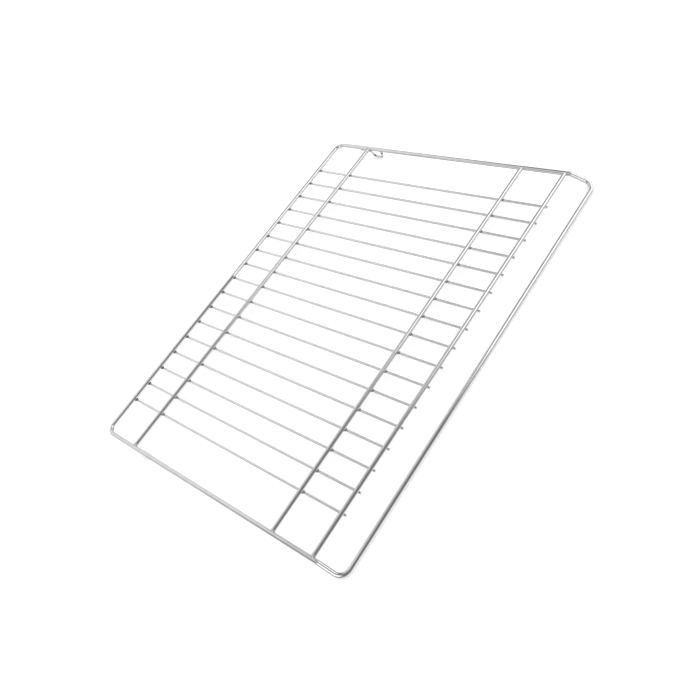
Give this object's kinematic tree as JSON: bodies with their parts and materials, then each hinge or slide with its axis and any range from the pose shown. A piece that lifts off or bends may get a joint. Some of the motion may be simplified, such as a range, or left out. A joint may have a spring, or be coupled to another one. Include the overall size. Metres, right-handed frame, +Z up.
{
  "type": "wire cooling rack",
  "caption": "Rectangular welded-wire cooling rack: closed frame wire with a turned-down front edge, cross bars, thin rods underneath and a wire lug under each side.",
  "frame": {"origin": "centre of the bounding box on the plane the rack stands on", "axes": "+X along the cross bars, to the right seen from the turned-down front edge; +Y to the rear edge; +Z up"},
  "size_m": [0.465, 0.3574, 0.0155],
  "materials": {
    "frame_wire": "bright nickel-chrome plate on drawn steel wire",
    "cross_bar": "bright nickel-chrome plate on drawn steel wire",
    "rod": "bright plate, a little duller where it is thin",
    "lug": "bright plate on bent wire"
  },
  "bodies": {
    "root": {"frame_wire": "frame_wire", "rear_bar": "cross_bar", "middle_bar": "cross_bar", "front_bar": "cross_bar", "left_lug": "lug", "right_lug": "lug", "rod_01": "rod", "rod_02": "rod", "rod_03": "rod", "rod_04": "rod", "rod_05": "rod", "rod_06": "rod", "rod_07": "rod", "rod_08": "rod", "rod_09": "rod", "rod_10": "rod", "rod_11": "rod", "rod_12": "rod", "rod_13": "rod", "rod_14": "rod", "rod_15": "rod", "rod_16": "rod", "rod_17": "rod"}
  },
  "joints": []
}
